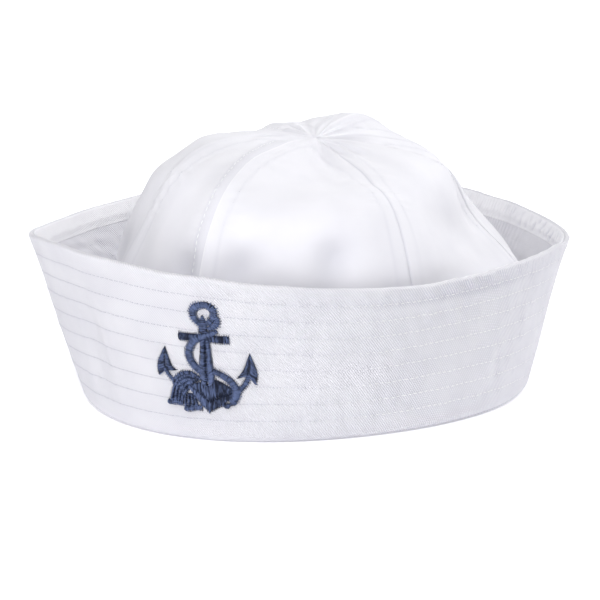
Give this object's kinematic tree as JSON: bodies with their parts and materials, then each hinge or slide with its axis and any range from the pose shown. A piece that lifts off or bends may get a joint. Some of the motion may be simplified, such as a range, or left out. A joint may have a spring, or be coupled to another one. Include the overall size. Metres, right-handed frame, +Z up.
{
  "type": "sailor cap",
  "caption": "Round cloth cap with a gored crown inside a tall turned-up stitched brim, with a raised embroidered anchor on its front.",
  "frame": {"origin": "middle of the rim's box in plan, on the surface that the cap stands on", "axes": "+Z up through the crown, -Y towards the front with the anchor, +X to the right seen from the front"},
  "size_m": [0.222, 0.2576, 0.1131],
  "materials": {
    "white_cotton": "matte white cotton twill",
    "navy_thread": "satin-stitched navy embroidery thread"
  },
  "bodies": {
    "root": {"brim": "white_cotton", "brim_hem": "white_cotton", "anchor_embroidery": "navy_thread", "crown_gore_1": "white_cotton", "crown_gore_2": "white_cotton", "crown_gore_3": "white_cotton", "crown_gore_4": "white_cotton", "crown_gore_5": "white_cotton", "crown_gore_6": "white_cotton", "crown_gore_7": "white_cotton", "crown_gore_8": "white_cotton"}
  },
  "joints": []
}
